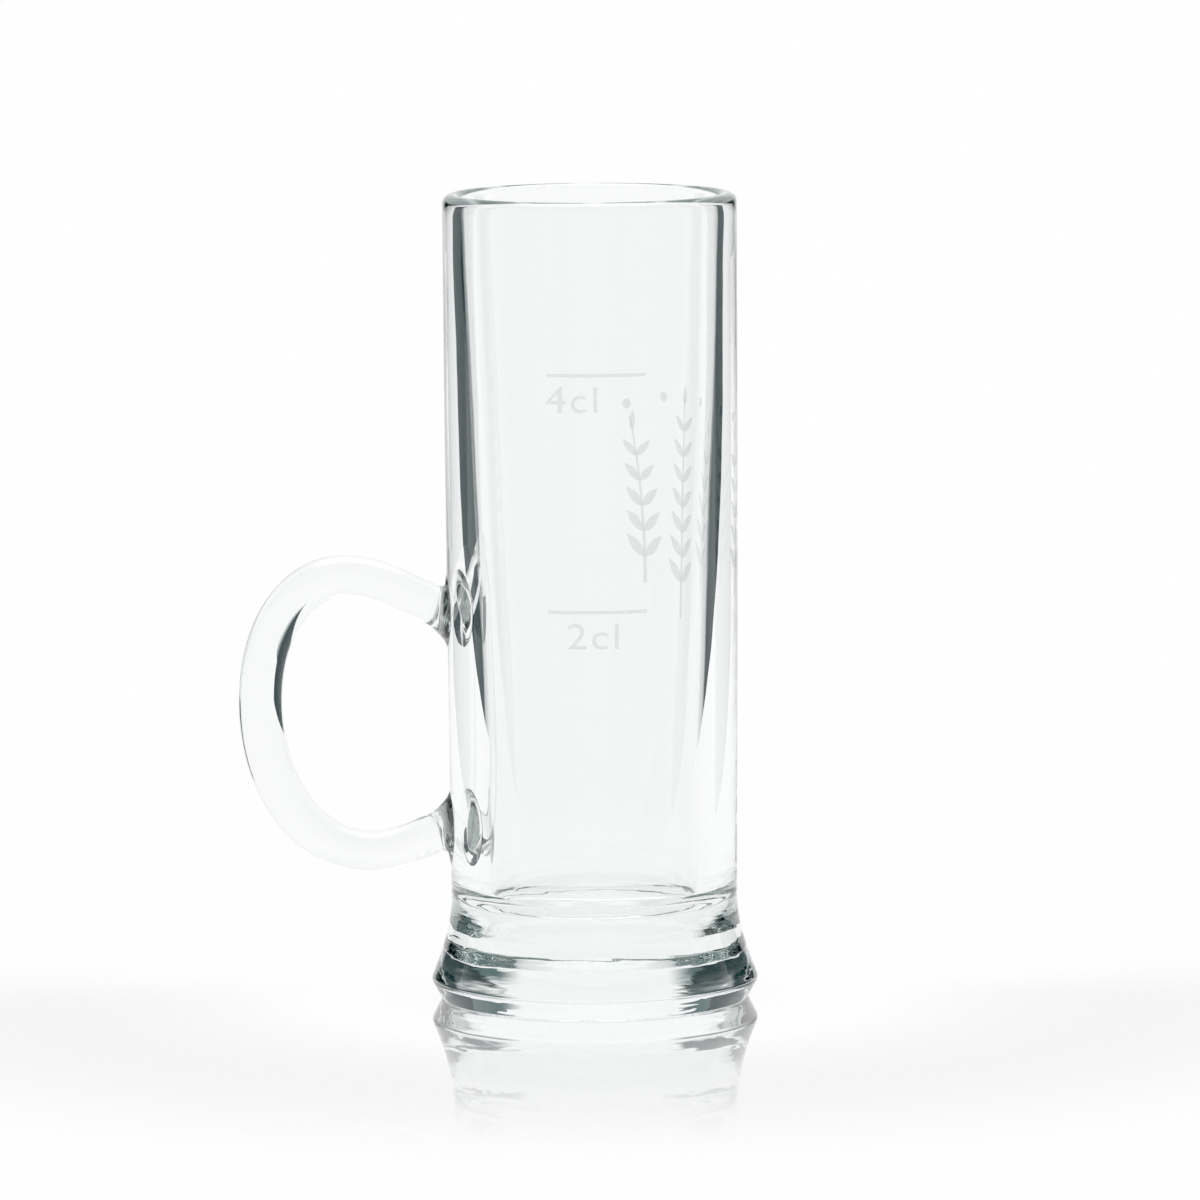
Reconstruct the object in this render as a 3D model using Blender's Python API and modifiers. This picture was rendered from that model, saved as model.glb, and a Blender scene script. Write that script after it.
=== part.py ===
"""Handled shot glass: a pressed glass body, a drawn rod handle and two printed fill lines.

Metres, +Z up. The origin is the centre of the foot's resting face, the handle points along -X
and the fill lines face -Y.
"""

import math

import bmesh
import bpy

# Glass body, outside
HEIGHT = 0.0985
RIM_RADIUS = 0.01785
WAIST_RADIUS = 0.01745
WAIST_HEIGHT = 0.0125
FOOT_RADIUS = 0.0199
FOOT_EDGE_HEIGHT = 0.0027
CONTACT_RADIUS = 0.0171
FLARE_POWER = 1.7

# Glass body, inside
RIM_WALL = 0.00215
RIM_EDGE_RADIUS = 0.0008
BORE_FLOOR_RADIUS = 0.0127
FLOOR_THICKNESS = 0.0112
FLOOR_CORNER_RADIUS = 0.0032

# Handle, along the middle of its rod and measured from the barrel's wall
ROD_RADIUS = 0.00256
UPPER_WELD_HEIGHT = 0.0478
LOWER_WELD_HEIGHT = 0.0209
WELD_SLOPE = math.radians(16)
CROWN_RISE = 0.0042
CROWN_STANDOFF = 0.0123
REACH_HEIGHT = 0.0365
REACH_STANDOFF = 0.0229
BELLY_DROP = 0.0028
BELLY_STANDOFF = 0.0094
WELD_FLARE = 1.0
WELD_FLARE_LENGTH = 0.0038
UPPER_WELD_PULL = 0.0045
LOWER_WELD_PULL = 0.0034

# Fill lines, printed on the front of the barrel
UPPER_LINE_HEIGHT = 0.0779
LOWER_LINE_HEIGHT = 0.0494
LINE_LENGTH = 0.0121
LINE_TALL = 0.0004
PRINT_THICKNESS = 0.0002
PRINT_AZIMUTH = math.radians(2.2)

# Clearances
WELD_SEAM = 0.0003
PRINT_SEAM = 0.0003
ROD_OVERRUN = 0.003

# Mesh fineness
TURN_STEPS = 72
RIM_EDGE_POINTS = 5
CORNER_POINTS = 6
FOOT_EDGE_POINTS = 7
FLARE_POINTS = 10
BARREL_POINTS = 5
ROD_RESOLUTION = 8
BEND_POINTS = 12
LINE_STEPS = 12

MERGE_DISTANCE = 0.00005
QUARTER_BEND_PULL = 0.58
GLASS_IOR = 1.52


def outer_radius(height):
    """Outside radius of the glass body at a height, from the rim down to the foot's edge."""
    if height >= WAIST_HEIGHT:
        share = min((height - WAIST_HEIGHT) / (HEIGHT - WAIST_HEIGHT), 1.0)
        return WAIST_RADIUS + (RIM_RADIUS - WAIST_RADIUS) * math.sin(share * math.pi / 2)
    share = (WAIST_HEIGHT - height) / (WAIST_HEIGHT - FOOT_EDGE_HEIGHT)
    return WAIST_RADIUS + (FOOT_RADIUS - WAIST_RADIUS) * min(share, 1.0) ** FLARE_POWER


def even_steps(start, end, count):
    """count values from start to end, both kept."""
    return [start + (end - start) * index / (count - 1) for index in range(count)]


def arc(center, radii, start, end, count):
    """Points of an elliptical arc in the turning plane, between two angles."""
    return [
        (center[0] + radii[0] * math.cos(angle), center[1] + radii[1] * math.sin(angle))
        for angle in even_steps(start, end, count)
    ]


def wall_points(top, clearance=0.0):
    """The outside of the barrel and its flare, from a height down to the foot's edge."""
    heights = even_steps(top, WAIST_HEIGHT, BARREL_POINTS)[:-1]
    heights += even_steps(WAIST_HEIGHT, FOOT_EDGE_HEIGHT, FLARE_POINTS)
    return [(outer_radius(height) + clearance, height) for height in heights]


def body_profile():
    """Half section of the body: along the bore's floor, up the bore, over the rim, down the outside."""
    rim_shoulder = HEIGHT - RIM_EDGE_RADIUS
    rim_edge_radii = (RIM_EDGE_RADIUS, RIM_EDGE_RADIUS)
    rim_bore_radius = RIM_RADIUS - RIM_WALL
    corner_center = (BORE_FLOOR_RADIUS - FLOOR_CORNER_RADIUS, FLOOR_THICKNESS + FLOOR_CORNER_RADIUS)
    bore_rise = rim_shoulder - corner_center[1]
    bore_slope = math.atan2(rim_bore_radius - BORE_FLOOR_RADIUS, bore_rise)
    corner_radii = (FLOOR_CORNER_RADIUS, FLOOR_CORNER_RADIUS)
    foot_center = (CONTACT_RADIUS, FOOT_EDGE_HEIGHT)
    foot_radii = (FOOT_RADIUS - CONTACT_RADIUS, FOOT_EDGE_HEIGHT)
    points = [(0.0, FLOOR_THICKNESS)]
    points += arc(corner_center, corner_radii, -math.pi / 2, -bore_slope, CORNER_POINTS)
    rim_inside = (rim_bore_radius + RIM_EDGE_RADIUS, rim_shoulder)
    rim_outside = (RIM_RADIUS - RIM_EDGE_RADIUS, rim_shoulder)
    points += arc(rim_inside, rim_edge_radii, math.pi, math.pi / 2, RIM_EDGE_POINTS)
    points += arc(rim_outside, rim_edge_radii, math.pi / 2, 0.0, RIM_EDGE_POINTS)
    points += wall_points(rim_shoulder)[1:]
    points += arc(foot_center, foot_radii, 0.0, -math.pi / 2, FOOT_EDGE_POINTS)[1:]
    points.append((0.0, 0.0))
    return points


def trim_profile():
    """Half section of the solid that shapes the handle's ends: the barrel grown by the weld seam."""
    points = [(0.0, HEIGHT)]
    points += wall_points(HEIGHT, WELD_SEAM)
    points.append((0.0, FOOT_EDGE_HEIGHT))
    return points


def cubic(points, share):
    """A point on the cubic curve through the first and last of four control points."""
    rest = 1.0 - share
    weights = (rest**3, 3 * rest**2 * share, 3 * rest * share**2, share**3)
    return tuple(sum(w * p[axis] for w, p in zip(weights, points)) for axis in range(2))


def handle_path():
    """Distance from the axis and height of points along the rod, from the upper weld to the lower."""
    crown_height = UPPER_WELD_HEIGHT + CROWN_RISE
    belly_height = LOWER_WELD_HEIGHT - BELLY_DROP
    upper = (outer_radius(UPPER_WELD_HEIGHT), UPPER_WELD_HEIGHT)
    lower = (outer_radius(LOWER_WELD_HEIGHT), LOWER_WELD_HEIGHT)
    crown = (outer_radius(crown_height) + CROWN_STANDOFF, crown_height)
    reach = (outer_radius(REACH_HEIGHT) + REACH_STANDOFF, REACH_HEIGHT)
    belly = (outer_radius(belly_height) + BELLY_STANDOFF, belly_height)
    out, rise = math.cos(WELD_SLOPE), math.sin(WELD_SLOPE)
    crown_pull = QUARTER_BEND_PULL * (reach[0] - crown[0])
    upper_reach_pull = QUARTER_BEND_PULL * (crown[1] - reach[1])
    lower_reach_pull = QUARTER_BEND_PULL * (reach[1] - belly[1])
    belly_pull = QUARTER_BEND_PULL * (reach[0] - belly[0])
    bends = [
        (
            upper,
            (upper[0] + UPPER_WELD_PULL * out, upper[1] + UPPER_WELD_PULL * rise),
            (crown[0] - UPPER_WELD_PULL, crown[1]),
            crown,
        ),
        (crown, (crown[0] + crown_pull, crown[1]), (reach[0], reach[1] + upper_reach_pull), reach),
        (reach, (reach[0], reach[1] - lower_reach_pull), (belly[0] + belly_pull, belly[1]), belly),
        (
            belly,
            (belly[0] - LOWER_WELD_PULL, belly[1]),
            (lower[0] + LOWER_WELD_PULL * out, lower[1] - LOWER_WELD_PULL * rise),
            lower,
        ),
    ]
    path = [(upper[0] - ROD_OVERRUN * out, upper[1] - ROD_OVERRUN * rise)]
    for bend in bends:
        path += [cubic(bend, share) for share in even_steps(0.0, 1.0, BEND_POINTS)[:-1]]
    path.append(lower)
    path.append((lower[0] - ROD_OVERRUN * out, lower[1] + ROD_OVERRUN * rise))
    return path


def weld_swell(distance, height):
    """How much wider than the plain rod the glass is, near the wall that it was welded to."""
    clear = max(distance - outer_radius(height), 0.0)
    return 1.0 + WELD_FLARE * max(1.0 - clear / WELD_FLARE_LENGTH, 0.0) ** 2


def make_material(name, color, roughness, transmission=0.0):
    material = bpy.data.materials.new(name)
    material.use_nodes = True
    shader = material.node_tree.nodes["Principled BSDF"]
    shader.inputs["Base Color"].default_value = color
    shader.inputs["Roughness"].default_value = roughness
    shader.inputs["Metallic"].default_value = 0.0
    shader.inputs["Transmission Weight"].default_value = transmission
    shader.inputs["IOR"].default_value = GLASS_IOR
    return material


def add_object(name, data, collection, material=None):
    new_object = bpy.data.objects.new(name, data)
    collection.objects.link(new_object)
    if material is not None:
        data.materials.append(material)
    return new_object


def profile_mesh(name, points):
    """A mesh of one open chain of edges in the XZ plane."""
    mesh = bpy.data.meshes.new(name)
    edges = [(index, index + 1) for index in range(len(points) - 1)]
    mesh.from_pydata([(x, 0.0, z) for x, z in points], edges, [])
    return mesh


def add_turn(turned, angle, steps, merge):
    screw = turned.modifiers.new("turn", "SCREW")
    screw.axis = "Z"
    screw.angle = angle
    screw.steps = steps
    screw.render_steps = steps
    screw.use_merge_vertices = merge
    screw.merge_threshold = MERGE_DISTANCE
    screw.use_smooth_shade = True
    return screw


def make_body(collection, material):
    body = add_object("glass_body", profile_mesh("glass_body", body_profile()), collection, material)
    add_turn(body, math.tau, TURN_STEPS, merge=True)
    return body


def make_trim(collection):
    trim = add_object("handle_trim", profile_mesh("handle_trim", trim_profile()), collection)
    add_turn(trim, math.tau, TURN_STEPS, merge=True)
    trim.hide_render = True
    trim.display_type = "WIRE"
    return trim


def rod_curve():
    """The handle's rod as a curve, with its ends swollen and run into the wall."""
    curve = bpy.data.curves.new("handle_rod", "CURVE")
    curve.dimensions = "3D"
    curve.bevel_depth = ROD_RADIUS
    curve.bevel_resolution = ROD_RESOLUTION
    curve.use_fill_caps = True
    path = handle_path()
    spline = curve.splines.new("POLY")
    spline.points.add(len(path) - 1)
    for point, (distance, height) in zip(spline.points, path):
        point.co = (-distance, 0.0, height, 1.0)
        point.radius = weld_swell(distance, height)
    return curve


def make_handle(collection, material, trim):
    rod = add_object("handle_rod", rod_curve(), collection)
    graph = bpy.context.evaluated_depsgraph_get()
    mesh = bpy.data.meshes.new_from_object(rod.evaluated_get(graph))
    mesh.name = "handle"
    shape = bmesh.new()
    shape.from_mesh(mesh)
    bmesh.ops.remove_doubles(shape, verts=shape.verts, dist=MERGE_DISTANCE)
    bmesh.ops.recalc_face_normals(shape, faces=shape.faces)
    shape.to_mesh(mesh)
    shape.free()
    mesh.shade_smooth()
    handle = add_object("handle", mesh, collection, material)
    handle.matrix_world = rod.matrix_world
    bpy.data.objects.remove(rod)
    cut = handle.modifiers.new("fit_to_wall", "BOOLEAN")
    cut.operation = "DIFFERENCE"
    cut.solver = "EXACT"
    cut.object = trim
    return handle


def make_fill_line(name, height, collection, material):
    """A printed line: a short arc of the wall, given the thickness of fired enamel."""
    radius = outer_radius(height) + PRINT_SEAM + PRINT_THICKNESS / 2
    ends = [(radius, LINE_TALL / 2), (radius, -LINE_TALL / 2)]
    span = LINE_LENGTH / radius
    line = add_object(name, profile_mesh(name, ends), collection, material)
    line.location.z = height
    line.rotation_euler.z = -math.pi / 2 + PRINT_AZIMUTH - span / 2
    add_turn(line, span, LINE_STEPS, merge=False)
    thick = line.modifiers.new("enamel", "SOLIDIFY")
    thick.thickness = PRINT_THICKNESS
    thick.offset = 0.0
    return line


def main():
    for old in list(bpy.data.objects):
        bpy.data.objects.remove(old)
    parts = bpy.data.collections.new("handled_shot_glass")
    cutters = bpy.data.collections.new("cutters")
    for collection in (parts, cutters):
        bpy.context.scene.collection.children.link(collection)
    body_glass = make_material("body_glass", (0.94, 0.97, 0.96, 1.0), 0.02, 1.0)
    handle_glass = make_material("handle_glass", (0.95, 0.98, 0.97, 1.0), 0.03, 1.0)
    enamel = make_material("fill_enamel", (0.86, 0.87, 0.86, 1.0), 0.55)
    base = bpy.data.objects.new("glass_origin", None)
    parts.objects.link(base)
    trim = make_trim(cutters)
    pieces = [
        make_body(parts, body_glass),
        make_handle(parts, handle_glass, trim),
        make_fill_line("upper_fill_line", UPPER_LINE_HEIGHT, parts, enamel),
        make_fill_line("lower_fill_line", LOWER_LINE_HEIGHT, parts, enamel),
    ]
    for piece in pieces:
        piece.parent = base


main()
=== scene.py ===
"""Handled shot glass, dressed for the camera.

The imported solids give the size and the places. This script shows them as clear pressed glass with a
drawn glass handle and fired enamel marks, on a pale glossy floor under soft white light.
Metres, +Z up, handle along -X, marks facing -Y.
"""

import math

import bmesh
import bpy
from mathutils import Matrix, Vector


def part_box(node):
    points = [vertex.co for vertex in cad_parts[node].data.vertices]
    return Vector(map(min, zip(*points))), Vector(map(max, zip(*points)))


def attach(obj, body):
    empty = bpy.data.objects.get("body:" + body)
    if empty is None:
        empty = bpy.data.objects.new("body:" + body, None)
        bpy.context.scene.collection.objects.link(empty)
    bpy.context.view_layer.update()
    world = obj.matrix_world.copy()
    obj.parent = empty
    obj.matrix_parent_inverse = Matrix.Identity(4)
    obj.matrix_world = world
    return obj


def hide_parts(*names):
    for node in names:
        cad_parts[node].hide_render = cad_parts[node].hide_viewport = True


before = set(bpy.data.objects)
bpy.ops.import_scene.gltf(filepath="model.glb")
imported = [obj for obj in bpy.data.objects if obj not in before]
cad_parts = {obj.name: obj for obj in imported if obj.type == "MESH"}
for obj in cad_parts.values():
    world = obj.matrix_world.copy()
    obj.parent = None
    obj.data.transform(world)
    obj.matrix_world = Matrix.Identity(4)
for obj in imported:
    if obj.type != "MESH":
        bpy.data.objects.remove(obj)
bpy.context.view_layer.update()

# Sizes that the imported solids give
body_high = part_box("glass_body")[1]
HEIGHT = body_high.z
FOOT_RADIUS = body_high.x

# Glass body, outside, as in the part
RIM_RADIUS = 0.01785
WAIST_RADIUS = 0.01745
WAIST_HEIGHT = 0.0125
FOOT_EDGE_HEIGHT = 0.0027
FLARE_POWER = 1.7

# Glass body, inside, as in the part
RIM_WALL = 0.00215
BORE_FLOOR_RADIUS = 0.0127
FLOOR_THICKNESS = 0.0112
FLOOR_CORNER_RADIUS = 0.0032

# The rim, rounder than in the part: width and height of its two rounds, and the least flat between
RIM_INNER_ROUND = (0.00090, 0.0008)
RIM_OUTER_ROUND = (0.00125, 0.0011)
RIM_LEAST_FLAT = 0.000001

# The unevenness of a pressed body: the bore sits off the axis and swells a little,
# and eases back to its true form within a share of its depth from the floor and from the rim
BORE_SHIFT = 0.00006
BORE_OVAL = 0.00003
BORE_OVAL_TURN = 0.7
BORE_OVAL_TWIST = 0.4
BORE_WAVE = 0.000015
BORE_WAVE_LOBES = 3.0
BORE_WAVE_LENGTH = 0.034
BORE_EASE_AT_FLOOR = 1.0 / 6.0
BORE_EASE_AT_RIM = 1.0 / 12.0

# The foot's edge and underside, finer than in the part
UNDERSIDE_HOLLOW = 0.0001
FOOT_EDGE_ROUND = 0.0009
FOOT_CORNER_ROUND = 0.0004
FRONT_UNDER_TILT = math.radians(31)
BACK_UNDER_TILT = math.radians(25)
FLARE_END_RISE = 0.00015

# Handle, as in the part
ROD_RADIUS = 0.00256
UPPER_WELD_HEIGHT = 0.0478
LOWER_WELD_HEIGHT = 0.0209
WELD_SLOPE = math.radians(16)
CROWN_RISE = 0.0042
CROWN_STANDOFF = 0.0123
REACH_HEIGHT = 0.0365
REACH_STANDOFF = 0.0229
BELLY_DROP = 0.0028
BELLY_STANDOFF = 0.0094
WELD_FLARE = 1.0
UPPER_WELD_PULL = 0.0045
LOWER_WELD_PULL = 0.0034
QUARTER_BEND_PULL = 0.58

# Handle, the drawn rod's own thickness and its welds, which flare over less length than in the part
ROD_SLIM = 0.00008
ROD_SWELL = 0.00022
WELD_FLARE_LENGTH = 0.0016
WELD_BLEND = 0.0016
WELD_WIDTH_SHARE = 0.84
WELD_HEIGHT_SHARE = 0.96
WELD_EMBED = 0.00005

# Enamel marks on the front of the barrel
UPPER_LINE_HEIGHT = 0.0779
LOWER_LINE_HEIGHT = 0.0494
LINE_LENGTH = 0.0121
LINE_TALL = 0.0004
MARK_AZIMUTH = math.radians(2.2)
MARK_DROP = 0.0031
MARK_TEXT_SIZE = 0.0045
MARK_TEXT_STRETCH = 1.16
MARK_TEXT_SPACING = 1.12
UPPER_TEXT_SHIFT = -0.0029
LOWER_TEXT_SHIFT = -0.0005
ENAMEL_THICKNESS = 0.00003
ENAMEL_LIFT = 0.00001
CUT_STEP = 0.0004
MERGE_DISTANCE = 0.000004

# Ornament on the back of the barrel: leafy sprigs and berries in enamel
# Each sprig has its place, its lean, its height and its pairs of leaves
PRINT_AZIMUTH = math.radians(130)
PRINT_HEIGHT = 0.0590
SPRIGS = (
    (-0.0074, -0.0026, 0.0205, 5),
    (0.0, 0.0, 0.0285, 7),
    (0.0074, 0.0026, 0.0205, 5),
)
LEAF_LENGTH = 0.0044
LEAF_WIDTH = 0.0015
LEAF_SPREAD = math.radians(48)
LEAF_SHRINK = 0.45
LEAF_BELLY = 0.8
LEAF_STEPS = 8
FIRST_LEAVES = 0.16
LEAVED_SHARE = 0.76
TOP_LEAF = 0.92
STEM_WIDTH = 0.0005
STEM_TAPER = 0.6
STEM_STEPS = 16
BERRY_RADIUS = 0.0006
BERRY_SIDES = 14
BERRIES = ((-0.0105, 0.0118), (-0.0046, 0.0128), (0.0046, 0.0128), (0.0105, 0.0118))

# Mesh fineness
TURN_STEPS = 224
BARREL_RINGS = 60
FLARE_RINGS = 28
CORNER_RINGS = 16
RIM_RINGS = 10
FOOT_EDGE_RINGS = 8
FOOT_CONE_RINGS = 6
FLAT_RINGS = 12
ROD_SIDES = 56
ROD_RINGS = 220
BEND_SAMPLES = 60
CAP_RINGS = 6

# Camera, fitted to the photograph
IMAGE_PIXELS = 1200
FOCAL_PIXELS = 8765.2
SENSOR_WIDTH = 36.0
CAMERA_PLACE = (0.00094, -1.060, 0.176)
CAMERA_PITCH = math.radians(6.843)
CAMERA_ROLL = math.radians(-0.41)

# Studio floor, which glows for the camera and through the glass, and mirrors near the foot
FLOOR_SIDE = 12.0
FLOOR_GAP = 0.00005
FLOOR_GLOW = 0.7
FLOOR_GLOW_IN_GLASS = 0.85
FLOOR_GLOSS = 1.3
FLOOR_GLOSS_FADE = (0.012, 0.125)
FLOOR_ROUGHNESS = 0.02
FLOOR_WHITE = (0.99, 0.99, 0.99, 1.0)
GRAZING_BLEND = 0.5
GRAZING_POWER = 3.0

# Painted shade: light that was mirrored about in the glass and leaves it sideways is toned down to
# dull green, in the world and in the floor's glow
# Both limits lie halfway between whole numbers of turns
ANY_TURN = 0.5
MOST_TURNS = 5.5
LONG_WAY_PAINTED_SHADE = (0.08, 0.15, 0.148, 1.0)
LONG_WAY_ASIDE = (0.15, 0.55)

# Dark flags beside and behind the glass: near and far ends of each, seen from above
FLAG_COLOUR = (0.005, 0.030, 0.034, 1.0)
BACK_FLAG_COLOUR = (0.10, 0.16, 0.16, 1.0)
LEFT_FLAG_NEAR = ((-0.148, 0.045), (-0.184, 0.265))
RIGHT_FLAG_NEAR = ((0.150, 0.045), (0.228, 0.290))
FLAG_FAR = ((0.913, 0.407), (0.310, 0.950))
BACK_FLAG = ((1.039, 0.600), (0.360, 1.145))
LEFT_FLAG_BOW = -0.015
RIGHT_FLAG_BOW = 0.093
FLAG_TALL = 0.24
FLAG_SOFT_SIDE = 0.07
BACK_FLAG_SOFT_SIDE = 0.22
FLAG_SOFT_TOP = 0.3

# White card behind the glass
FILL_CARD_BEHIND = 0.055
FILL_CARD_SIDES = (-0.045, 0.045)
FILL_CARD_ENDS = (0.012, 0.130)
FILL_CARD_SOFT = 0.12

# Soft panel overhead
SOFTBOX_HEIGHT = 0.9
SOFTBOX_SIDES = (-0.5, 0.5)
SOFTBOX_ENDS = (-0.2, 0.9)
SOFTBOX_STRENGTH = 2.0
SOFTBOX_SOFT = 0.2

# Grey sheet before the glass: painted shade that shows only in reflections
FRONT_CARD_NEAR = 0.035
FRONT_CARD_FAR = 1.6
FRONT_CARD_RISE = 0.9
FRONT_CARD_CURL = 4
FRONT_CARD_SPREAD = math.radians(112)
# painted shade: the sheet glows in this grey where it is mirrored
FRONT_CARD_PAINTED_SHADE = (0.53, 0.55, 0.54, 1.0)
FRONT_CARD_SOFT_NEAR = 0.05
FRONT_CARD_SOFT_SIDE = 0.12
FRONT_CARD_SOFT_FAR = 0.1

# Unlit half of the room: a dark sheet of painted shade that shows only in reflections
ROOM_RADIUS = 1.7
ROOM_SPREAD = math.radians(118)
# painted shade: the sheet glows in this dull tone where it is mirrored
ROOM_PAINTED_SHADE = (0.12, 0.165, 0.165, 1.0)
ROOM_SOFT = 0.08
ROOM_LOW = 0.02

# Fineness of the cards
CARD_COLUMNS = 60
CARD_ROWS = 40

# How often light may bounce
MOST_BOUNCES = 32
MOST_MIRRORINGS = 24

# Materials
GLASS_IOR = 1.52
GLASS_COLOUR = (0.987, 0.995, 0.991, 1.0)
GLASS_TINT = (0.78, 0.88, 0.86, 1.0)
GLASS_TINT_DENSITY = 6.5
GLASS_ROUGHNESS = (0.0, 0.012)
GLASS_RELIEF = 0.00006
STREAK_SHARE = 0.17
FOOT_RIPPLE = (120.0, 120.0, 560.0)
FOOT_RIPPLE_FADE = (0.0125, 0.0165)
BODY_STREAKS = (260.0, 260.0, 55.0)
ROD_STREAKS = (160.0, 320.0, 160.0)
ENAMEL_GRAIN = (2600.0, 2600.0, 2600.0)
ENAMEL_ROUGHNESS = (0.42, 0.68)
ENAMEL_RELIEF = 0.00001
MARK_DARK = (0.71, 0.735, 0.73, 1.0)
MARK_PALE = (0.84, 0.86, 0.855, 1.0)
MARK_PASSING = 0.0
PRINT_DARK = (0.975, 0.985, 0.98, 1.0)
PRINT_PALE = (0.99, 0.995, 0.992, 1.0)
PRINT_PASSING = 0.97
NOISE_DETAIL = 2.0
NOISE_ROUGHNESS = 0.5
WHITE = (1.0, 1.0, 1.0, 1.0)


def even_steps(start, end, count):
    """count values from start to end, both kept."""
    return [start + (end - start) * index / (count - 1) for index in range(count)]


def smooth(share):
    """A soft step from 0 to 1."""
    held = min(max(share, 0.0), 1.0)
    return held * held * (3.0 - 2.0 * held)


def outer_radius(height):
    """Outside radius of the glass body at a height, from the rim down to the foot's edge."""
    if height >= WAIST_HEIGHT:
        share = min((height - WAIST_HEIGHT) / (HEIGHT - WAIST_HEIGHT), 1.0)
        return WAIST_RADIUS + (RIM_RADIUS - WAIST_RADIUS) * math.sin(share * math.pi / 2)
    share = (WAIST_HEIGHT - height) / (WAIST_HEIGHT - FOOT_EDGE_HEIGHT)
    return WAIST_RADIUS + (FOOT_RADIUS - WAIST_RADIUS) * min(share, 1.0) ** FLARE_POWER


def wall_distance(side, height):
    """How far from the middle plane the wall stands, a step to the side of it."""
    return math.sqrt(outer_radius(height) ** 2 - side**2)


# Materials


def new_material(name):
    """A node material, its node tree and its Principled shader."""
    material = bpy.data.materials.new(name)
    material.use_nodes = True
    tree = material.node_tree
    return material, tree, tree.nodes["Principled BSDF"]


def add_node(tree, kind, **values):
    """A node with some of its sockets set."""
    node = tree.nodes.new(kind)
    for key, value in values.items():
        node.inputs[key.replace("_", " ").title()].default_value = value
    return node


def math_node(tree, operation, first, second):
    """The result of a sum on two sockets or numbers."""
    node = tree.nodes.new("ShaderNodeMath")
    node.operation = operation
    for socket, value in zip(node.inputs, (first, second)):
        if isinstance(value, bpy.types.NodeSocket):
            tree.links.new(value, socket)
        else:
            socket.default_value = value
    return node.outputs["Value"]


def vector_node(tree, operation, vector):
    """A node that works on one vector."""
    node = tree.nodes.new("ShaderNodeVectorMath")
    node.operation = operation
    tree.links.new(vector, node.inputs[0])
    return node


def map_range(tree, value, before, after, interpolation="LINEAR"):
    """A value brought from one range to another."""
    node = tree.nodes.new("ShaderNodeMapRange")
    node.interpolation_type = interpolation
    node.inputs["From Min"].default_value = before[0]
    node.inputs["From Max"].default_value = before[1]
    node.inputs["To Min"].default_value = after[0]
    node.inputs["To Max"].default_value = after[1]
    tree.links.new(value, node.inputs["Value"])
    return node.outputs["Result"]


def along_axis(tree, vector, axis):
    """One of a vector's three parts."""
    parts = tree.nodes.new("ShaderNodeSeparateXYZ")
    tree.links.new(vector, parts.inputs["Vector"])
    return parts.outputs[axis]


def stretched_noise(tree, stretch):
    """Noise in the piece's own lengths, stretched along its axes."""
    place = tree.nodes.new("ShaderNodeTexCoord")
    scaling = tree.nodes.new("ShaderNodeMapping")
    scaling.inputs["Scale"].default_value = stretch
    tree.links.new(place.outputs["Object"], scaling.inputs["Vector"])
    noise = add_node(
        tree, "ShaderNodeTexNoise", scale=1.0, detail=NOISE_DETAIL, roughness=NOISE_ROUGHNESS
    )
    tree.links.new(scaling.outputs["Vector"], noise.inputs["Vector"])
    return noise.outputs["Fac"]


def uneven_surface(tree, shader, noise, height, roughness, relief):
    """Roughness from a noise and a faint relief from a height, as forming leaves them."""
    link = tree.links.new
    link(map_range(tree, noise, (0.0, 1.0), roughness), shader.inputs["Roughness"])
    bump = add_node(tree, "ShaderNodeBump", strength=1.0, distance=relief)
    link(height, bump.inputs["Height"])
    link(bump.outputs["Normal"], shader.inputs["Normal"])


def foot_share(tree):
    """One over the foot and nothing over the barrel."""
    place = tree.nodes.new("ShaderNodeTexCoord")
    height = along_axis(tree, place.outputs["Object"], "Z")
    return map_range(tree, height, FOOT_RIPPLE_FADE, (1.0, 0.0))


def glass_material(name, stretch):
    """Clear glass with a faint tint, streaks from forming and a rippled foot."""
    material, tree, shader = new_material(name)
    shader.inputs["Base Color"].default_value = GLASS_COLOUR
    shader.inputs["IOR"].default_value = GLASS_IOR
    shader.inputs["Transmission Weight"].default_value = 1.0
    noise = stretched_noise(tree, stretch)
    streaks = math_node(tree, "MULTIPLY", noise, STREAK_SHARE)
    ripple = math_node(tree, "MULTIPLY", stretched_noise(tree, FOOT_RIPPLE), foot_share(tree))
    height = math_node(tree, "ADD", streaks, ripple)
    uneven_surface(tree, shader, noise, height, GLASS_ROUGHNESS, GLASS_RELIEF)
    tint = add_node(
        tree, "ShaderNodeVolumeAbsorption", color=GLASS_TINT, density=GLASS_TINT_DENSITY
    )
    output = tree.nodes["Material Output"]
    tree.links.new(tint.outputs["Volume"], output.inputs["Volume"])
    return material


def enamel_material(name, dark, pale, passing_share):
    """Fired enamel: pale, a little mottled, with a dull grain, and letting some light pass."""
    material, tree, shader = new_material(name)
    noise = stretched_noise(tree, ENAMEL_GRAIN)
    uneven_surface(tree, shader, noise, noise, ENAMEL_ROUGHNESS, ENAMEL_RELIEF)
    mottle = tree.nodes.new("ShaderNodeMix")
    mottle.data_type = "RGBA"
    mottle.inputs["A"].default_value = dark
    mottle.inputs["B"].default_value = pale
    link = tree.links.new
    link(noise, mottle.inputs["Factor"])
    link(mottle.outputs["Result"], shader.inputs["Base Color"])
    passing = tree.nodes.new("ShaderNodeBsdfTranslucent")
    link(mottle.outputs["Result"], passing.inputs["Color"])
    blend = tree.nodes.new("ShaderNodeMixShader")
    blend.inputs["Fac"].default_value = passing_share
    link(shader.outputs["BSDF"], blend.inputs[1])
    link(passing.outputs["BSDF"], blend.inputs[2])
    link(blend.outputs["Shader"], tree.nodes["Material Output"].inputs["Surface"])
    return material


# Mesh helpers


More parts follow.
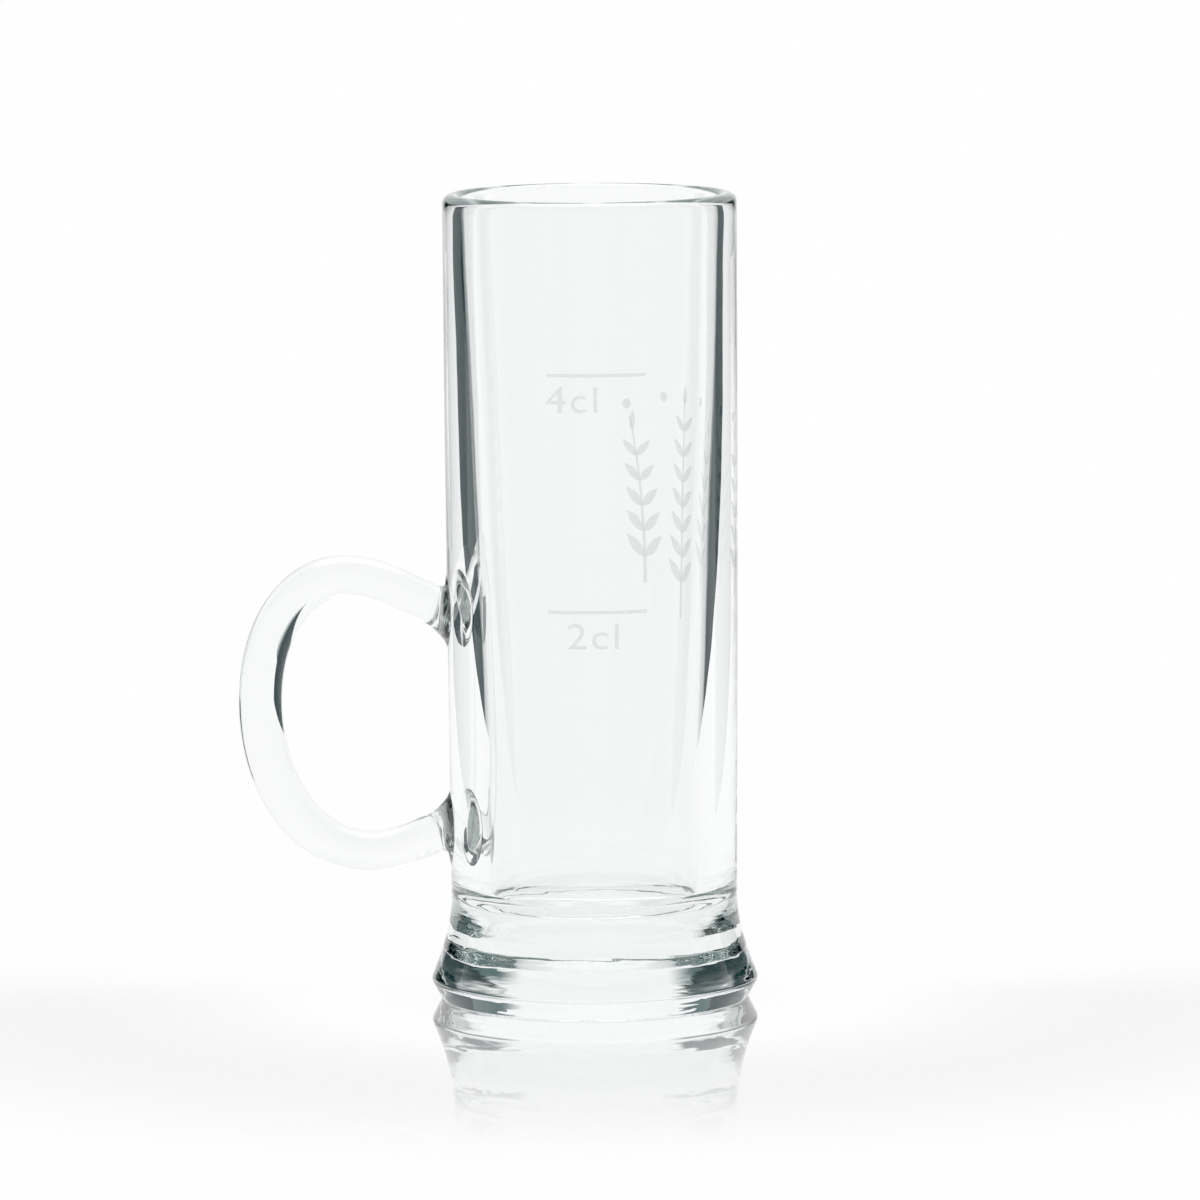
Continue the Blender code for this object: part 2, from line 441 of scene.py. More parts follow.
def add_piece(name, shape, material):
    """An object of the part from a bmesh, smooth shaded, riding on the part's one body."""
    mesh = bpy.data.meshes.new(name)
    bmesh.ops.recalc_face_normals(shape, faces=shape.faces)
    for face in shape.faces:
        face.smooth = True
    shape.to_mesh(mesh)
    shape.free()
    mesh.materials.append(material)
    piece = bpy.data.objects.new(name, mesh)
    bpy.context.scene.collection.objects.link(piece)
    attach(piece, "root")
    return piece


def bridge(shape, ring, next_ring):
    """Faces between two closed rings of vertices."""
    count = len(ring)
    for index in range(count):
        after = (index + 1) % count
        shape.faces.new((ring[index], ring[after], next_ring[after], next_ring[index]))


def fan(shape, ring, center):
    """Faces from a closed ring to one vertex."""
    count = len(ring)
    for index in range(count):
        shape.faces.new((ring[index], ring[(index + 1) % count], center))


# Glass body


def arc(center, radii, start, end, count):
    """Points of an elliptical arc in the turning plane, between two angles."""
    return [
        (center[0] + radii[0] * math.cos(angle), center[1] + radii[1] * math.sin(angle))
        for angle in even_steps(start, end, count)
    ]


def bore_section():
    """Half section of the bore, from the middle of its floor to the top of the rim."""
    shoulder = HEIGHT - RIM_INNER_ROUND[1]
    bore_radius = RIM_RADIUS - RIM_WALL
    corner = (BORE_FLOOR_RADIUS - FLOOR_CORNER_RADIUS, FLOOR_THICKNESS + FLOOR_CORNER_RADIUS)
    slope = math.atan2(bore_radius - BORE_FLOOR_RADIUS, shoulder - corner[1])
    corner_radii = (FLOOR_CORNER_RADIUS, FLOOR_CORNER_RADIUS)
    points = [(radius, FLOOR_THICKNESS) for radius in even_steps(0.0, corner[0], FLAT_RINGS)]
    points += arc(corner, corner_radii, -math.pi / 2, -slope, CORNER_RINGS)[1:]
    start = points[-1]
    points += [
        (start[0] + (bore_radius - start[0]) * share, start[1] + (shoulder - start[1]) * share)
        for share in even_steps(0.0, 1.0, BARREL_RINGS)[1:]
    ]
    rim_center = (bore_radius + RIM_INNER_ROUND[0], shoulder)
    points += arc(rim_center, RIM_INNER_ROUND, math.pi, math.pi / 2, RIM_RINGS)[1:]
    return points


def outside_section(under_tilt):
    """Half section of the outside, from the top of the rim to the middle of the underside."""
    shoulder = HEIGHT - RIM_OUTER_ROUND[1]
    rim_center = (RIM_RADIUS - RIM_OUTER_ROUND[0], shoulder)
    points = arc(rim_center, RIM_OUTER_ROUND, math.pi / 2, 0.0, RIM_RINGS)
    if RIM_WALL - RIM_INNER_ROUND[0] - RIM_OUTER_ROUND[0] < RIM_LEAST_FLAT:
        points = points[1:]
    heights = even_steps(shoulder, WAIST_HEIGHT, BARREL_RINGS)[1:]
    heights += even_steps(WAIST_HEIGHT, FOOT_EDGE_HEIGHT + FLARE_END_RISE, FLARE_RINGS)[1:]
    points += [(outer_radius(height), height) for height in heights]
    points += foot_edge_section(points[-1], under_tilt)[1:]
    contact_radius = points[-1][0]
    for radius in even_steps(contact_radius, 0.0, FLAT_RINGS)[1:]:
        hollow = UNDERSIDE_HOLLOW * math.cos(radius / contact_radius * math.pi / 2)
        points.append((radius, hollow))
    return points


def foot_edge_section(start, under_tilt):
    """The foot below the flare: a round, a band turning under, and a round above the contact ring."""
    flare_tall = WAIST_HEIGHT - FOOT_EDGE_HEIGHT
    flare_tilt = math.atan(FLARE_POWER * (FOOT_RADIUS - WAIST_RADIUS) / flare_tall)
    edge = (
        start[0] - FOOT_EDGE_ROUND * math.cos(flare_tilt),
        start[1] - FOOT_EDGE_ROUND * math.sin(flare_tilt),
    )
    edge_radii = (FOOT_EDGE_ROUND, FOOT_EDGE_ROUND)
    points = arc(edge, edge_radii, flare_tilt, -under_tilt, FOOT_EDGE_RINGS)
    begin = Vector(points[-1])
    end_height = FOOT_CORNER_ROUND * (1.0 - math.sin(under_tilt))
    end = Vector((begin[0] - (begin[1] - end_height) * math.tan(under_tilt), end_height))
    for share in even_steps(0.0, 1.0, FOOT_CONE_RINGS)[1:-1]:
        points.append(tuple(begin.lerp(end, share)))
    corner = (end[0] - FOOT_CORNER_ROUND * math.cos(under_tilt), FOOT_CORNER_ROUND)
    corner_radii = (FOOT_CORNER_ROUND, FOOT_CORNER_ROUND)
    points += arc(corner, corner_radii, -under_tilt, -math.pi / 2, FOOT_EDGE_RINGS)
    return points


def bore_point(radius, height, angle):
    """A point of the bore, with the small unevenness of pressed glass."""
    depth = (height - FLOOR_THICKNESS) / (HEIGHT - FLOOR_THICKNESS)
    inside = smooth(depth / BORE_EASE_AT_FLOOR) * smooth((1.0 - depth) / BORE_EASE_AT_RIM)
    phase = height / BORE_WAVE_LENGTH * math.tau
    swell = BORE_OVAL * math.cos(2.0 * angle + BORE_OVAL_TURN + BORE_OVAL_TWIST * phase)
    swell += BORE_WAVE * math.sin(phase + BORE_WAVE_LOBES * angle)
    reach = radius + swell * inside
    return (
        reach * math.cos(angle) + BORE_SHIFT * inside,
        reach * math.sin(angle),
        height,
    )


def outside_point(front, back, angle):
    """A point of the outside, which turns under a little less at the back of the foot."""
    share = smooth((1.0 + math.sin(angle)) / 2)
    radius = front[0] + (back[0] - front[0]) * share
    height = front[1] + (back[1] - front[1]) * share
    return (radius * math.cos(angle), radius * math.sin(angle), height)


def make_body(material):
    """The pressed body: bore, rim, barrel and foot as one skin of rings."""
    shape = bmesh.new()
    angles = [math.tau * step / TURN_STEPS for step in range(TURN_STEPS)]
    bore = bore_section()
    front = outside_section(FRONT_UNDER_TILT)
    back = outside_section(BACK_UNDER_TILT)
    rings = []
    for radius, height in bore[1:]:
        rings.append([shape.verts.new(bore_point(radius, height, angle)) for angle in angles])
    for before, behind in zip(front[:-1], back[:-1]):
        rings.append([shape.verts.new(outside_point(before, behind, angle)) for angle in angles])
    for ring, next_ring in zip(rings, rings[1:]):
        bridge(shape, ring, next_ring)
    fan(shape, rings[0], shape.verts.new((0.0, 0.0, bore[0][1])))
    fan(shape, rings[-1], shape.verts.new((0.0, 0.0, front[-1][1])))
    body = add_piece("pressed_body", shape, material)
    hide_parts("glass_body")


# Handle


def cubic(points, share):
    """A point on the cubic curve through the first and last of four control points."""
    rest = 1.0 - share
    weights = (rest**3, 3 * rest**2 * share, 3 * rest * share**2, share**3)
    return Vector(
        sum(weight * point[axis] for weight, point in zip(weights, points)) for axis in range(2)
    )


def handle_bends():
    """The rod's four bends as control points: distance from the axis and height."""
    crown_height = UPPER_WELD_HEIGHT + CROWN_RISE
    belly_height = LOWER_WELD_HEIGHT - BELLY_DROP
    upper = (outer_radius(UPPER_WELD_HEIGHT), UPPER_WELD_HEIGHT)
    lower = (outer_radius(LOWER_WELD_HEIGHT), LOWER_WELD_HEIGHT)
    crown = (outer_radius(crown_height) + CROWN_STANDOFF, crown_height)
    reach = (outer_radius(REACH_HEIGHT) + REACH_STANDOFF, REACH_HEIGHT)
    belly = (outer_radius(belly_height) + BELLY_STANDOFF, belly_height)
    out, rise = math.cos(WELD_SLOPE), math.sin(WELD_SLOPE)
    crown_pull = QUARTER_BEND_PULL * (reach[0] - crown[0])
    upper_reach_pull = QUARTER_BEND_PULL * (crown[1] - reach[1])
    lower_reach_pull = QUARTER_BEND_PULL * (reach[1] - belly[1])
    belly_pull = QUARTER_BEND_PULL * (reach[0] - belly[0])
    return [
        (
            upper,
            (upper[0] + UPPER_WELD_PULL * out, upper[1] + UPPER_WELD_PULL * rise),
            (crown[0] - UPPER_WELD_PULL, crown[1]),
            crown,
        ),
        (crown, (crown[0] + crown_pull, crown[1]), (reach[0], reach[1] + upper_reach_pull), reach),
        (reach, (reach[0], reach[1] - lower_reach_pull), (belly[0] + belly_pull, belly[1]), belly),
        (
            belly,
            (belly[0] - LOWER_WELD_PULL, belly[1]),
            (lower[0] + LOWER_WELD_PULL * out, lower[1] - LOWER_WELD_PULL * rise),
            lower,
        ),
    ]


def handle_centers():
    """Evenly spaced points along the rod's middle, and the rod's whole length."""
    bends = handle_bends()
    fine = []
    for bend in bends:
        fine += [cubic(bend, share) for share in even_steps(0.0, 1.0, BEND_SAMPLES)[:-1]]
    fine.append(cubic(bends[-1], 1.0))
    travel = [0.0]
    for before, after in zip(fine, fine[1:]):
        travel.append(travel[-1] + (after - before).length)
    centers = []
    index = 0
    for wanted in even_steps(0.0, travel[-1], ROD_RINGS):
        while index < len(fine) - 2 and travel[index + 1] < wanted:
            index += 1
        share = (wanted - travel[index]) / (travel[index + 1] - travel[index])
        centers.append(fine[index].lerp(fine[index + 1], min(share, 1.0)))
    return centers, travel[-1]


def rod_point(center, normal, radius, turn):
    """A point round the plain rod."""
    side = radius * math.cos(turn)
    lift = normal * (radius * math.sin(turn))
    return Vector((-(center[0] + lift[0]), side, center[1] + lift[1]))


def weld_point(center, radius, turn, sink):
    """A point of the rod's section laid parallel to the wall, as at a weld."""
    side = radius * WELD_WIDTH_SHARE * math.cos(turn)
    height = center[1] + radius * WELD_HEIGHT_SHARE * math.sin(turn)
    clear = center[0] - outer_radius(center[1]) - sink
    return Vector((-(wall_distance(side, height) + clear), side, height))


def make_handle(material):
    """The drawn rod, from one weld round its loop to the other."""
    shape = bmesh.new()
    centers, length = handle_centers()
    turns = [math.tau * side / ROD_SIDES for side in range(ROD_SIDES)]
    rings = []
    for index, center in enumerate(centers):
        before = centers[max(index - 1, 0)]
        after = centers[min(index + 1, ROD_RINGS - 1)]
        along = (after - before).normalized()
        normal = Vector((-along[1], along[0]))
        share = index / (ROD_RINGS - 1)
        clear = max(center[0] - outer_radius(center[1]), 0.0)
        swell = 1.0 + WELD_FLARE * max(1.0 - clear / WELD_FLARE_LENGTH, 0.0) ** 2
        thickness = ROD_RADIUS - ROD_SLIM + ROD_SWELL * math.sin(share * math.pi) ** 2
        radius = thickness * swell
        to_weld = min(share, 1.0 - share) * length
        welded = smooth(1.0 - to_weld / WELD_BLEND)
        ring = []
        for turn in turns:
            flipped = turn if normal[1] >= 0.0 else -turn
            free = rod_point(center, normal, radius, turn)
            laid = weld_point(center, radius, flipped, WELD_EMBED)
            ring.append(shape.verts.new(free.lerp(laid, welded)))
        rings.append(ring)
    for ring, next_ring in zip(rings, rings[1:]):
        bridge(shape, ring, next_ring)
    for ring, center in ((rings[0], centers[0]), (rings[-1], centers[-1])):
        border = close_on_wall(shape, ring, center)
        for edge in border:
            edge.smooth = False
    handle = add_piece("drawn_handle", shape, material)
    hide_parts("handle")


def close_on_wall(shape, ring, center):
    """Closes the rod's end with a face that follows the wall, and returns the edges round it."""
    border = [shape.edges.get((vert, ring[index - 1])) for index, vert in enumerate(ring)]
    outer = ring
    for step in range(1, CAP_RINGS):
        share = 1.0 - step / CAP_RINGS
        inner = []
        for vert in ring:
            side = vert.co.y * share
            height = center[1] + (vert.co.z - center[1]) * share
            wall = wall_distance(side, height) - WELD_EMBED
            inner.append(shape.verts.new((-wall, side, height)))
        bridge(shape, outer, inner)
        outer = inner
    middle = -(wall_distance(0.0, center[1]) - WELD_EMBED)
    fan(shape, outer, shape.verts.new((middle, 0.0, center[1])))
    return border


# Enamel marks


def flat_text(shape, words, middle):
    """Adds flat lettering to a bmesh, centred on a point."""
    curve = bpy.data.curves.new("lettering", "FONT")
    curve.body = words
    curve.size = MARK_TEXT_SIZE
    curve.space_character = MARK_TEXT_SPACING
    curve.align_x = "CENTER"
    curve.align_y = "CENTER"
    letters = bpy.data.objects.new("lettering", curve)
    bpy.context.scene.collection.objects.link(letters)
    graph = bpy.context.evaluated_depsgraph_get()
    mesh = letters.evaluated_get(graph).to_mesh().copy()
    stretch = Matrix.Scale(MARK_TEXT_STRETCH, 4, (1, 0, 0))
    mesh.transform(Matrix.Translation((middle[0], middle[1], 0.0)) @ stretch)
    shape.from_mesh(mesh)
    bpy.data.objects.remove(letters)
    bpy.data.curves.remove(curve)
    bpy.data.meshes.remove(mesh)


def flat_strip(shape, low, high):
    """Adds a flat rectangle to a bmesh."""
    corners = [(low[0], low[1]), (high[0], low[1]), (high[0], high[1]), (low[0], high[1])]
    shape.faces.new([shape.verts.new((x, y, 0.0)) for x, y in corners])


def wrap_on_wall(shape, azimuth, height):
    """Gives flat shapes the thickness of enamel and lays them on the outside of the barrel."""
    bmesh.ops.remove_doubles(shape, verts=shape.verts, dist=MERGE_DISTANCE)
    edges = [vert.co.x for vert in shape.verts]
    cut = math.ceil(min(edges) / CUT_STEP) * CUT_STEP
    while cut < max(edges):
        everything = shape.verts[:] + shape.edges[:] + shape.faces[:]
        bmesh.ops.bisect_plane(
            shape, geom=everything, plane_co=(cut, 0.0, 0.0), plane_no=(1.0, 0.0, 0.0)
        )
        cut += CUT_STEP
    grown = bmesh.ops.extrude_face_region(shape, geom=shape.faces[:], use_keep_orig=True)
    for item in grown["geom"]:
        if isinstance(item, bmesh.types.BMVert):
            item.co.z += ENAMEL_THICKNESS
    for vert in shape.verts:
        along, rise, lift = vert.co
        radius = outer_radius(height + rise)
        angle = azimuth + along / radius
        reach = radius + ENAMEL_LIFT + lift
        vert.co = (reach * math.sin(angle), -reach * math.cos(angle), height + rise)


def make_mark(name, node, words, text_shift, height, material):
    """A fill line with its measure under it."""
    shape = bmesh.new()
    flat_strip(shape, (-LINE_LENGTH / 2, -LINE_TALL / 2), (LINE_LENGTH / 2, LINE_TALL / 2))
    flat_text(shape, words, (text_shift, -MARK_DROP))
    wrap_on_wall(shape, MARK_AZIMUTH, height)
    mark = add_piece(name, shape, material)
    mark.data.shade_flat()
    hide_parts(node)


# Ornament


def flat_outline(shape, points):
    """Adds a flat face to a bmesh from its outline."""
    shape.faces.new([shape.verts.new((point[0], point[1], 0.0)) for point in points])


def sprig_point(offset, lean, tall, share):
    """A point on a sprig's stem."""
    return Vector((offset + lean * share**2, tall * share - tall / 2))


def add_leaf(shape, root, turn, size):
    """A pointed leaf from its root, turned from upright."""
    along = Vector((math.sin(turn), math.cos(turn)))
    across = Vector((along[1], -along[0]))
    right, left = [], []
    for share in even_steps(0.0, 1.0, LEAF_STEPS):
        middle = root + along * (LEAF_LENGTH * size * share)
        swell = across * (LEAF_WIDTH * size / 2 * math.sin(math.pi * share**LEAF_BELLY))
        right.append(middle + swell)
        left.append(middle - swell)
    flat_outline(shape, right + left[-2:0:-1])


def add_stem(shape, offset, lean, tall):
    """A thin stem that tapers upwards."""
    right, left = [], []
    for share in even_steps(0.0, 1.0, STEM_STEPS):
        middle = sprig_point(offset, lean, tall, share)
        half = Vector((STEM_WIDTH * (1.0 - STEM_TAPER * share) / 2, 0.0))
        right.append(middle + half)
        left.append(middle - half)
    flat_outline(shape, right + left[::-1])


def add_berry(shape, middle):
    """A round dot."""
    last_turn = math.tau * (BERRY_SIDES - 1) / BERRY_SIDES
    flat_outline(shape, arc(middle, (BERRY_RADIUS, BERRY_RADIUS), 0.0, last_turn, BERRY_SIDES))


def make_print(material):
    """Leafy sprigs in enamel, round the back of the barrel."""
    shape = bmesh.new()
    for offset, lean, tall, pairs in SPRIGS:
        add_stem(shape, offset, lean, tall)
        for index in range(pairs):
            share = FIRST_LEAVES + LEAVED_SHARE * index / pairs
            root = sprig_point(offset, lean, tall, share)
            size = 1.0 - LEAF_SHRINK * share
            for side in (-1.0, 1.0):
                add_leaf(shape, root, side * LEAF_SPREAD, size)
        tip = sprig_point(offset, lean, tall, TOP_LEAF)
        add_leaf(shape, tip, 0.0, 1.0 - LEAF_SHRINK)
    for middle in BERRIES:
        add_berry(shape, middle)
    wrap_on_wall(shape, PRINT_AZIMUTH, PRINT_HEIGHT)
    sprigs = add_piece("leaf_print", shape, material)
    sprigs.data.shade_flat()


# Studio


def turned_back(tree):
    """How often light was mirrored or scattered on its way, beside passing through surfaces."""
    path = tree.nodes.new("ShaderNodeLightPath")
    depths = path.outputs["Ray Depth"], path.outputs["Transmission Depth"]
    return math_node(tree, "SUBTRACT", *depths)


def paint_shade_after_turns(tree, direction):
    """Painted shade: white for short ways through the glass, dull green for long ways that leave it
    sideways.
    """
    path = tree.nodes.new("ShaderNodeLightPath")
    unscattered = math_node(tree, "LESS_THAN", path.outputs["Diffuse Depth"], ANY_TURN)
    long_way = math_node(tree, "GREATER_THAN", turned_back(tree), MOST_TURNS)
    across = math_node(tree, "ABSOLUTE", along_axis(tree, direction, "X"), 0.0)
    aside = map_range(tree, across, LONG_WAY_ASIDE, (0.0, 1.0), "SMOOTHSTEP")
    dimmed = math_node(tree, "MULTIPLY", long_way, unscattered)
    dimmed = math_node(tree, "MULTIPLY", dimmed, aside)
    tone = tree.nodes.new("ShaderNodeMixRGB")
    tree.links.new(dimmed, tone.inputs["Fac"])
    tone.inputs["Color1"].default_value = WHITE
    tone.inputs["Color2"].default_value = LONG_WAY_PAINTED_SHADE
    return tone.outputs["Color"]


def make_light():
    """White light from all round, with painted shade: toned down to dull green where it came a long
    way through the glass.
    """
    world = bpy.data.worlds.new("white_room")
    world.use_nodes = True
    tree = world.node_tree
    sky = tree.nodes.new("ShaderNodeTexCoord")
    tone = paint_shade_after_turns(tree, sky.outputs["Generated"])
    tree.links.new(tone, tree.nodes["Background"].inputs["Color"])
    bpy.context.scene.world = world


def mix_shaders(tree, share, first, second):
    """The first shader, covered by the second to a share."""
    mix = tree.nodes.new("ShaderNodeMixShader")
    tree.links.new(share, mix.inputs["Fac"])
    tree.links.new(first.outputs[0], mix.inputs[1])
    tree.links.new(second.outputs[0], mix.inputs[2])
    return mix


def empty_material(name):
    """A node material without a shader, its node tree and its output."""
    material = bpy.data.materials.new(name)
    material.use_nodes = True
    tree = material.node_tree
    tree.nodes.clear()
    return material, tree, tree.nodes.new("ShaderNodeOutputMaterial")


def floor_material():
    """Pale polished acrylic, lit from below, with a reflection that fades away from the glass."""
    material, tree, output = empty_material("pale_acrylic")
    path = tree.nodes.new("ShaderNodeLightPath")
    place = tree.nodes.new("ShaderNodeNewGeometry").outputs["Position"]
    white = add_node(tree, "ShaderNodeBsdfDiffuse", color=FLOOR_WHITE)
    glow = add_node(tree, "ShaderNodeEmission", strength=1.0)
    bearing = vector_node(tree, "NORMALIZE", place).outputs["Vector"]
    # painted shade: the floor's glow turns dull green where the light came a long way through the
    # glass
    tree.links.new(paint_shade_after_turns(tree, bearing), glow.inputs["Color"])
    by_glass = path.outputs["Is Glossy Ray"], path.outputs["Is Transmission Ray"]
    through_share = math_node(
        tree, "MULTIPLY", math_node(tree, "MAXIMUM", *by_glass), FLOOR_GLOW_IN_GLASS
    )
    camera_share = math_node(tree, "MULTIPLY", path.outputs["Is Camera Ray"], FLOOR_GLOW)
    lit = mix_shaders(tree, math_node(tree, "ADD", through_share, camera_share), white, glow)
    gloss = add_node(tree, "ShaderNodeBsdfGlossy", color=WHITE, roughness=FLOOR_ROUGHNESS)
    facing = add_node(tree, "ShaderNodeLayerWeight", blend=GRAZING_BLEND)
    grazing = math_node(tree, "POWER", facing.outputs["Facing"], GRAZING_POWER)
    distance = vector_node(tree, "LENGTH", place).outputs["Value"]
    nearness = map_range(tree, distance, FLOOR_GLOSS_FADE, (FLOOR_GLOSS, 0.0), "SMOOTHERSTEP")
    near_gloss = math_node(tree, "MULTIPLY", grazing, nearness)
    gloss_share = math_node(tree, "MULTIPLY", near_gloss, path.outputs["Is Camera Ray"])
    polished = mix_shaders(tree, gloss_share, lit, gloss)
    tree.links.new(polished.outputs["Shader"], output.inputs["Surface"])
    return material


def make_floor():
    """A wide level floor under the glass."""
    mesh = bpy.data.meshes.new("floor")
    half = FLOOR_SIDE / 2
    corners = [(-half, -half), (half, -half), (half, half), (-half, half)]
    mesh.from_pydata([(x, y, -FLOOR_GAP) for x, y in corners], [], [(0, 1, 2, 3)])
    floor = bpy.data.objects.new("floor", mesh)
    bpy.context.scene.collection.objects.link(floor)
    mesh.materials.append(floor_material())


def card_material(name, shader_kind, **values):
    """A plain card that thins out to nothing where its cover does."""
    material, tree, output = empty_material(name)
    cover = tree.nodes.new("ShaderNodeAttribute")
    cover.attribute_name = "cover"
    clear = tree.nodes.new("ShaderNodeBsdfTransparent")
    face = add_node(tree, shader_kind, **values)
    card = mix_shaders(tree, cover.outputs["Fac"], clear, face)
    tree.links.new(card.outputs["Shader"], output.inputs["Surface"])
    return material


def make_card(name, shape, material):
    """A card of the studio that only the glass sees."""
    mesh = bpy.data.meshes.new(name)
    shape.to_mesh(mesh)
    shape.free()
    mesh.materials.append(material)
    card = bpy.data.objects.new(name, mesh)
    bpy.context.scene.collection.objects.link(card)
    card.visible_camera = False
    card.visible_diffuse = False
    card.visible_shadow = False


def soft_sheet(corner_point, soft_side, soft_low, soft_high):
    """A sheet of small faces from a function of two shares, with its cover fading at its edges."""
    shape = bmesh.new()
    cover = shape.verts.layers.float.new("cover")
    columns = []
    for across in even_steps(0.0, 1.0, CARD_COLUMNS):
        side_cover = smooth(min(across, 1.0 - across) / soft_side)
        column = []
        for up in even_steps(0.0, 1.0, CARD_ROWS):
            vert = shape.verts.new(corner_point(across, up))
            low_cover = smooth(up / soft_low) if soft_low else 1.0
            vert[cover] = side_cover * low_cover * smooth((1.0 - up) / soft_high)
            column.append(vert)
        columns.append(column)
    for column, next_column in zip(columns, columns[1:]):
        for row in range(CARD_ROWS - 1):
            corners = column[row], next_column[row], next_column[row + 1], column[row + 1]
            shape.faces.new(corners)
    return shape


def make_flag(name, near, far, bow, soft_side, material):
    """A dark card beside the set that rises away from it, and outlines the clear glass."""
    near_ends = [Vector((x, y, 0.0)) for x, y in near]
    far_ends = [Vector((x, y, FLAG_TALL)) for x, y in far]

    def corner_point(across, up):
        foot = near_ends[0].lerp(near_ends[1], across)
        place = foot.lerp(far_ends[0].lerp(far_ends[1], across), up)
        place.x += bow * across * (1.0 - (2.0 * up - 1.0) ** 2)
        return place

    make_card(name, soft_sheet(corner_point, soft_side, 0.0, FLAG_SOFT_TOP), material)


def make_flags():
    """Dark flags to the left and right, and paler ones far behind that darken the foot."""
    dark = card_material("dark_flag", "ShaderNodeBsdfDiffuse", color=FLAG_COLOUR)
    paler = card_material("back_flag", "ShaderNodeBsdfDiffuse", color=BACK_FLAG_COLOUR)
    left_far = [(-x, y) for x, y in FLAG_FAR]
    left_back = [(-x, y) for x, y in BACK_FLAG]
    make_flag("left_flag", LEFT_FLAG_NEAR, left_far, LEFT_FLAG_BOW, FLAG_SOFT_SIDE, dark)
    make_flag("right_flag", RIGHT_FLAG_NEAR, FLAG_FAR, RIGHT_FLAG_BOW, FLAG_SOFT_SIDE, dark)
    make_flag("left_back_flag", left_back, left_back, 0.0, BACK_FLAG_SOFT_SIDE, paler)
    make_flag("right_back_flag", BACK_FLAG, BACK_FLAG, 0.0, BACK_FLAG_SOFT_SIDE, paler)


def make_fill_card():
    """A white upright card behind the glass, which keeps the right flag out of the handle."""
    left, right = FILL_CARD_SIDES
    low, high = FILL_CARD_ENDS

    def corner_point(across, up):
        return Vector((left + (right - left) * across, FILL_CARD_BEHIND, low + (high - low) * up))

    glow = card_material("white_card", "ShaderNodeEmission", color=WHITE, strength=1.0)
    sheet = soft_sheet(corner_point, FILL_CARD_SOFT, FILL_CARD_SOFT, FILL_CARD_SOFT)
    make_card("fill_card", sheet, glow)


def make_softbox():
    """A bright soft panel overhead, which the rim and the foot's edges catch."""
    left, right = SOFTBOX_SIDES
    front, back = SOFTBOX_ENDS

    def corner_point(across, up):
        return Vector((left + (right - left) * across, front + (back - front) * up, SOFTBOX_HEIGHT))

    glow = card_material("softbox", "ShaderNodeEmission", color=WHITE, strength=SOFTBOX_STRENGTH)
    sheet = soft_sheet(corner_point, SOFTBOX_SOFT, SOFTBOX_SOFT, SOFTBOX_SOFT)
    make_card("softbox", sheet, glow)


def front_place(turn, reach, height):
    """A place before the glass, at a turn to the side and a distance from it."""
    return Vector((reach * math.sin(turn), -reach * math.cos(turn), height))


def painted_reflection_material(name, tone):
    """Painted reflection: the card glows in a tone where it is mirrored, and is clear where one looks
    straight through the glass at it.
    """
    material = card_material(name, "ShaderNodeEmission", color=tone, strength=1.0)
    tree = material.node_tree
    # painted reflection: the tone shows only on rays that were mirrored on their way
    mirrored = math_node(tree, "GREATER_THAN", turned_back(tree), ANY_TURN)
    share = math_node(tree, "MULTIPLY", tree.nodes["Attribute"].outputs["Fac"], mirrored)
    tree.links.new(share, tree.nodes["Mix Shader"].inputs["Fac"])
    return material


def make_front_card():
    """A grey sheet of painted shade before the glass that turns up behind the camera, like a studio's
    unlit end, seen only in reflections.
    """

    def corner_point(across, up):
        turn = FRONT_CARD_SPREAD * (2.0 * across - 1.0)
        reach = FRONT_CARD_NEAR + (FRONT_CARD_FAR - FRONT_CARD_NEAR) * up
        return front_place(turn, reach, FLOOR_GAP + FRONT_CARD_RISE * up**FRONT_CARD_CURL)

    softness = FRONT_CARD_SOFT_SIDE, FRONT_CARD_SOFT_NEAR, FRONT_CARD_SOFT_FAR
    sheet = soft_sheet(corner_point, *softness)
    make_card("front_card", sheet, painted_reflection_material("front_card", FRONT_CARD_PAINTED_SHADE))


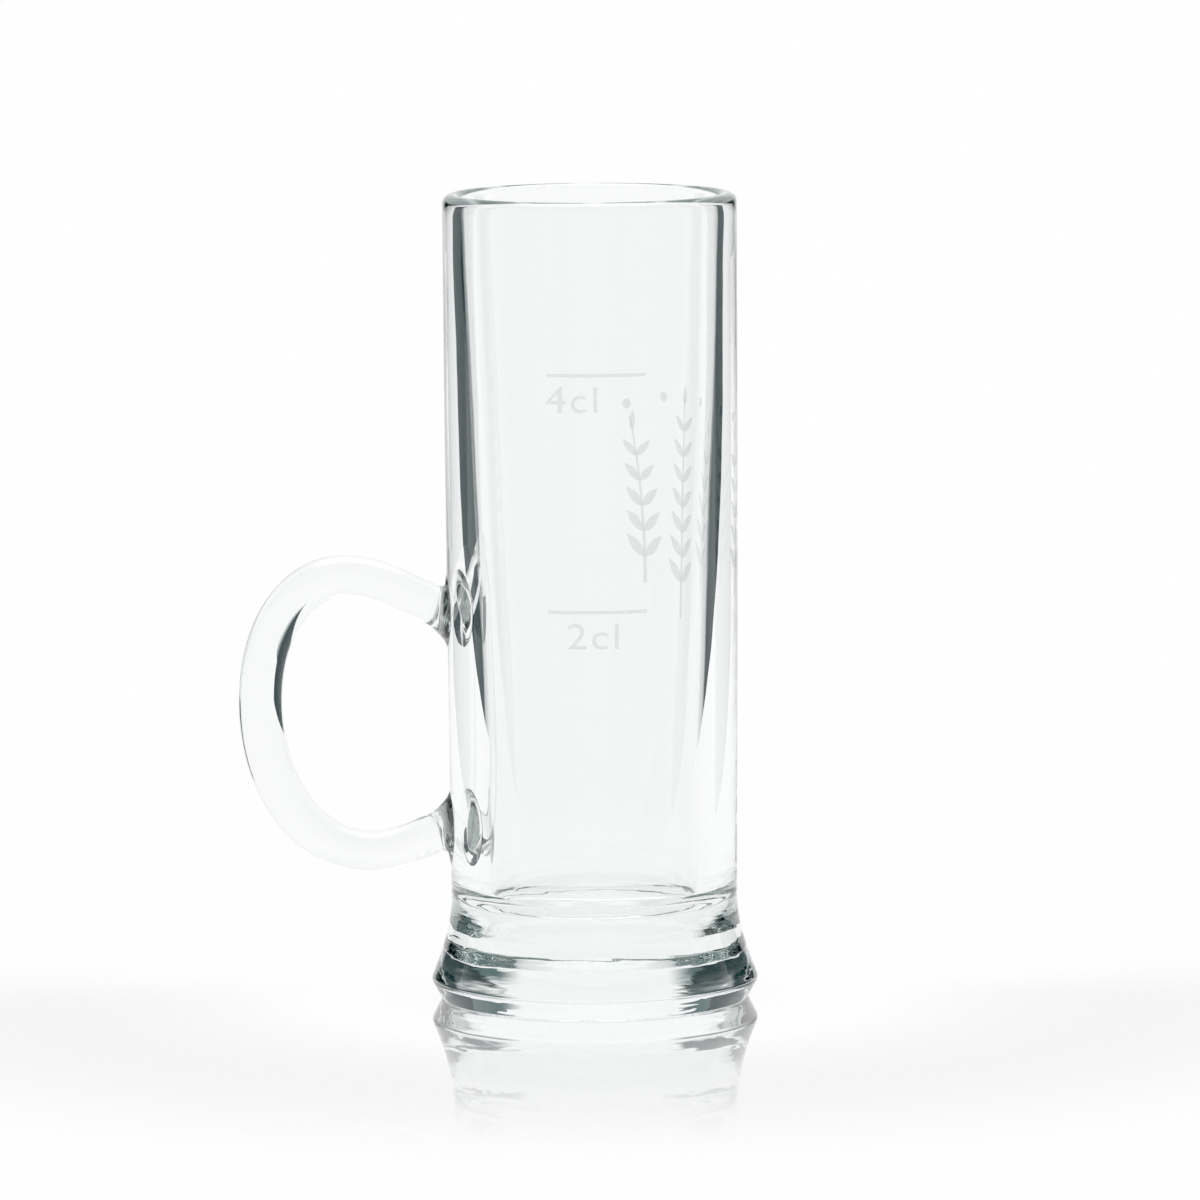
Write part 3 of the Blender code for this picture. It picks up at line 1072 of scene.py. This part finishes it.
def make_dark_room():
    """The unlit half of the studio as a dark sheet of painted shade, beside, before and above the
    glass, seen only in reflections.
    """

    def corner_point(across, up):
        turn = ROOM_SPREAD * (2.0 * across - 1.0)
        rise = up * math.pi / 2
        height = ROOM_LOW + ROOM_RADIUS * math.sin(rise)
        return front_place(turn, ROOM_RADIUS * math.cos(rise), height)

    sheet = soft_sheet(corner_point, ROOM_SOFT, 0.0, ROOM_SOFT)
    make_card("dark_room", sheet, painted_reflection_material("dark_room", ROOM_PAINTED_SHADE))


def make_camera():
    """The camera where the photograph was taken from."""
    camera = bpy.data.cameras.new("photo_camera")
    camera.sensor_width = SENSOR_WIDTH
    camera.lens = FOCAL_PIXELS / IMAGE_PIXELS * SENSOR_WIDTH
    stand = bpy.data.objects.new("photo_camera", camera)
    bpy.context.scene.collection.objects.link(stand)
    tilt = Matrix.Rotation(math.pi / 2 - CAMERA_PITCH, 4, "X")
    roll = Matrix.Rotation(CAMERA_ROLL, 4, "Z")
    stand.matrix_world = Matrix.Translation(CAMERA_PLACE) @ tilt @ roll
    bpy.context.scene.camera = stand


def main():
    """Sets up the studio and dresses the part."""
    scene = bpy.context.scene
    scene.view_settings.view_transform = "Standard"
    scene.cycles.max_bounces = MOST_BOUNCES
    scene.cycles.glossy_bounces = MOST_MIRRORINGS
    scene.cycles.transmission_bounces = MOST_BOUNCES
    make_camera()
    make_light()
    make_floor()
    make_flags()
    make_fill_card()
    make_softbox()
    make_front_card()
    make_dark_room()
    body_glass = glass_material("pressed_glass", BODY_STREAKS)
    handle_glass = glass_material("drawn_glass", ROD_STREAKS)
    enamel = enamel_material("fired_enamel", MARK_DARK, MARK_PALE, MARK_PASSING)
    print_enamel = enamel_material("thin_enamel", PRINT_DARK, PRINT_PALE, PRINT_PASSING)
    make_body(body_glass)
    make_handle(handle_glass)
    upper = ("4cl", UPPER_TEXT_SHIFT, UPPER_LINE_HEIGHT)
    lower = ("2cl", LOWER_TEXT_SHIFT, LOWER_LINE_HEIGHT)
    make_mark("upper_fill_mark", "upper_fill_line", *upper, enamel)
    make_mark("lower_fill_mark", "lower_fill_line", *lower, enamel)
    make_print(print_enamel)


main()
